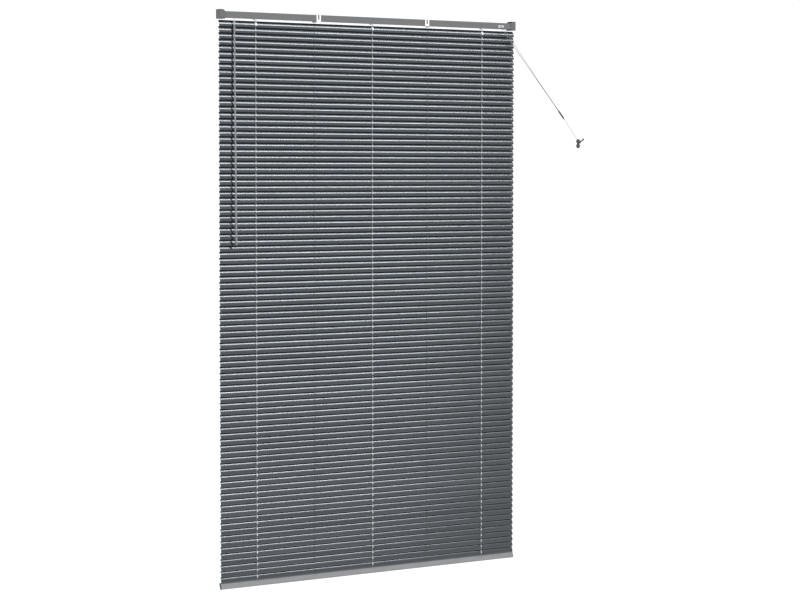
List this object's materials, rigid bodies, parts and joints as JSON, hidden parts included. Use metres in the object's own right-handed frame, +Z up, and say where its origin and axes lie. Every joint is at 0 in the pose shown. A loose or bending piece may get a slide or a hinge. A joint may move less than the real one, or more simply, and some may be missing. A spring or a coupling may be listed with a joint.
{
  "type": "venetian blind",
  "caption": "Grey aluminium venetian blind: curved slats on cord ladders under a channel headrail with box brackets, tilt wand, cord lock, pull cords to a wall cleat and a bottom rail.",
  "frame": {"origin": "centre of the four top fixing holes of the end brackets, on the plane of their top plates", "axes": "+X along the slats to the right seen from the room, +Y back to the window wall, +Z up"},
  "size_m": [1.746, 0.0411, 2.2041],
  "materials": {
    "slat_aluminium": "satin lacquer",
    "rail_paint": "satin",
    "bracket_paint": "satin",
    "foot_paint": "satin",
    "plated_steel": "zinc plated",
    "white_plastic": "matte",
    "grey_plastic": "matte",
    "dark_plastic": "matte",
    "wand_plastic": "smoky, half clear",
    "light_cord": "braided",
    "dark_cord": "braided"
  },
  "bodies": {
    "frame": {"headrail": "rail_paint", "headrail_cap_left": "grey_plastic", "headrail_cap_right": "grey_plastic", "bracket_left": "bracket_paint", "bracket_right": "bracket_paint", "rail_clip_left": "white_plastic", "rail_clip_right": "white_plastic", "tilter_housing": "grey_plastic", "cord_lock": "white_plastic", "cord_outlet": "white_plastic", "slats": "slat_aluminium", "drum_cradle_1": "white_plastic", "ladder_1": "light_cord", "drum_cradle_2": "grey_plastic", "ladder_2": "dark_cord", "drum_cradle_3": "white_plastic", "drum_cradle_4": "grey_plastic", "ladder_4": "dark_cord", "drum_cradle_5": "white_plastic", "ladder_5": "light_cord", "lift_cord_1": "light_cord", "cord_eyelet_1": "white_plastic", "pull_cord_1": "light_cord", "lift_cord_2": "light_cord", "cord_eyelet_2": "white_plastic", "pull_cord_2": "light_cord", "lift_cord_3": "light_cord", "cord_eyelet_3": "white_plastic", "pull_cord_3": "light_cord", "cord_connector": "dark_plastic", "tail_cord": "light_cord", "cord_loop": "light_cord", "wall_cleat": "dark_plastic"},
    "tilt_shaft": {"tilt_rod": "plated_steel", "worm_wheel": "white_plastic", "ladder_drum_1": "white_plastic", "ladder_drum_2": "white_plastic", "ladder_drum_3": "white_plastic", "ladder_drum_4": "white_plastic", "ladder_drum_5": "white_plastic"},
    "wand_hook": {"worm": "plated_steel", "wand_hook": "plated_steel"},
    "wand": {"wand_sleeve": "wand_plastic", "wand_rod": "wand_plastic", "wand_tip": "wand_plastic"},
    "bottom_rail": {"bottom_rail": "foot_paint", "bottom_cap_left": "dark_plastic", "bottom_cap_right": "dark_plastic", "bottom_plug_1": "dark_plastic", "bottom_plug_2": "dark_plastic", "bottom_plug_3": "dark_plastic", "bottom_plug_4": "dark_plastic", "bottom_plug_5": "dark_plastic"},
    "lock_pulley": {"cord_lock_pulley": "grey_plastic"},
    "lock_roller": {"cord_lock_roller": "plated_steel"},
    "door_left": {"bracket_door_left": "bracket_paint"},
    "door_right": {"bracket_door_right": "bracket_paint"}
  },
  "joints": [
    {"name": "tilt_shaft_turn", "type": "hinge", "parent": "frame", "child": "tilt_shaft", "pos_m": [0, 0, -0.0185], "axis": [-1, 0, 0], "range_deg": [0, 140]},
    {"name": "wand_turn", "type": "hinge", "parent": "frame", "child": "wand_hook", "pos_m": [-0.629, -0.00936, -0.0396], "axis": [0, 0.0122, 0.9999], "range_deg": [-2520, 0]},
    {"name": "wand_swing", "type": "hinge", "parent": "wand_hook", "child": "wand", "pos_m": [-0.629, -0.0096, -0.0595], "axis": [-1, 0, 0], "range_deg": [0, 50]},
    {"name": "bottom_rail_lift", "type": "slide", "parent": "frame", "child": "bottom_rail", "axis": [0, 0, 1], "range_m": [0, 1.95], "deforming": ["slats", "ladder_1", "ladder_2", "ladder_4", "ladder_5", "lift_cord_1", "lift_cord_2", "lift_cord_3", "cord_eyelet_1", "cord_eyelet_2", "cord_eyelet_3"]},
    {"name": "lock_pulley_spin", "type": "hinge", "parent": "frame", "child": "lock_pulley", "pos_m": [0.611, 0, -0.0234], "axis": [0, 1, 0], "continuous": true},
    {"name": "lock_roller_slide", "type": "slide", "parent": "frame", "child": "lock_roller", "axis": [1, 0, 0], "range_m": [0, 0.004]},
    {"name": "door_left_hinge", "type": "hinge", "parent": "frame", "child": "door_left", "pos_m": [-0.682, -0.0135, -0.0018], "axis": [-1, 0, 0], "range_deg": [0, 90]},
    {"name": "door_right_hinge", "type": "hinge", "parent": "frame", "child": "door_right", "pos_m": [0.682, -0.0135, -0.0018], "axis": [-1, 0, 0], "range_deg": [0, 90]}
  ],
  "couplings": [
    {"joint": "tilt_shaft_turn", "follows": "wand_turn", "ratio": -0.055556}
  ]
}
